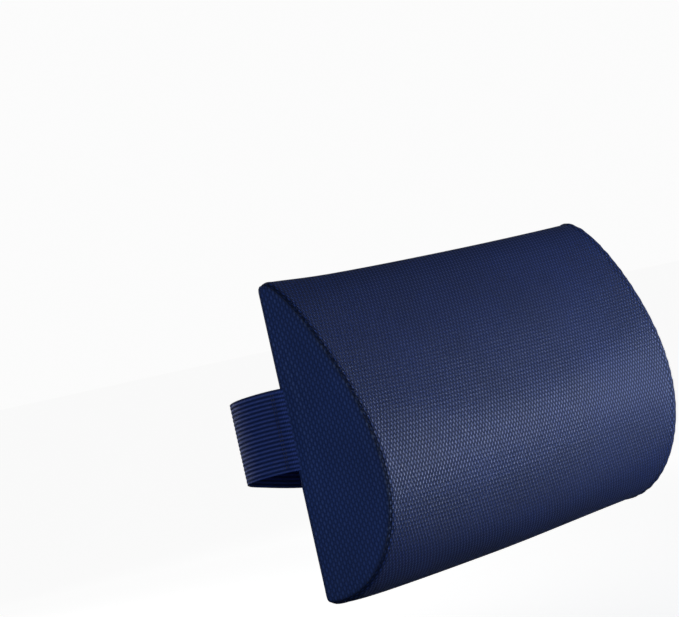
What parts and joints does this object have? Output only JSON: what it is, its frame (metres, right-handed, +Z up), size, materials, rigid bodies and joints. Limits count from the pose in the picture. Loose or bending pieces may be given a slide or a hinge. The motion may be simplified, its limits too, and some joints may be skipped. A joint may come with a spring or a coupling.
{
  "type": "chair headrest cushion",
  "caption": "Half-moon foam headrest cushion in a woven cover, with flat sewn ends and a flat back held to a chair by a hook-and-loop strap with an elastic half.",
  "frame": {"origin": "centre of the cushion's flat back face, where it rests on the chair back", "axes": "+X to the right along the cushion's length as seen from the front, +Y out of the flat back towards the chair, +Z up"},
  "size_m": [0.4038, 0.108, 0.194],
  "materials": {
    "cover": "coarse navy basket weave with a soft sheen",
    "strap_fabric": "same woven cloth, doubled and topstitched",
    "elastic": "ribbed woven elastic",
    "loop_tape": "brushed loop tape",
    "hook_tape": "nylon hook tape",
    "thread": "polyester sewing thread",
    "foam": "moulded polyurethane foam",
    "sleeve": "thin knitted sleeve"
  },
  "bodies": {
    "cushion": {"foam_core": "foam", "core_sleeve": "sleeve", "cover_wrap": "cover", "back_seam_allowance": "cover", "left_end_panel": "cover", "right_end_panel": "cover", "left_seam_allowance": "cover", "right_seam_allowance": "cover", "left_seam_thread": "thread", "right_seam_thread": "thread", "elastic_anchor": "elastic", "fabric_anchor": "strap_fabric"},
    "elastic_half": {"elastic_strap": "elastic", "elastic_tack": "thread", "loop_patch": "loop_tape", "loop_patch_thread": "thread"},
    "fabric_half": {"fabric_strap": "strap_fabric", "fabric_strap_lining": "strap_fabric", "fabric_tack": "thread", "hook_patch": "hook_tape", "hook_patch_thread": "thread"},
    "strap_tab": {"pull_tab": "strap_fabric", "pull_tab_lining": "strap_fabric", "tab_hem": "strap_fabric"}
  },
  "joints": [
    {"name": "fabric_swing", "type": "hinge", "parent": "cushion", "child": "fabric_half", "pos_m": [0.2009, 0.0017, -0.008], "axis": [0, 0, -1], "range_deg": [0, 150]},
    {"name": "elastic_swing", "type": "hinge", "parent": "cushion", "child": "elastic_half", "pos_m": [-0.2007, 0.0012, 0], "axis": [0, 0, 1], "range_deg": [0, 67.5]},
    {"name": "tab_peel", "type": "hinge", "parent": "fabric_half", "child": "strap_tab", "pos_m": [0.012, 0.0368, -0.008], "axis": [0, -0.1191, -0.9929], "range_deg": [0, 90]}
  ],
  "couplings": [
    {"joint": "elastic_swing", "follows": "fabric_swing", "ratio": 0.45}
  ]
}
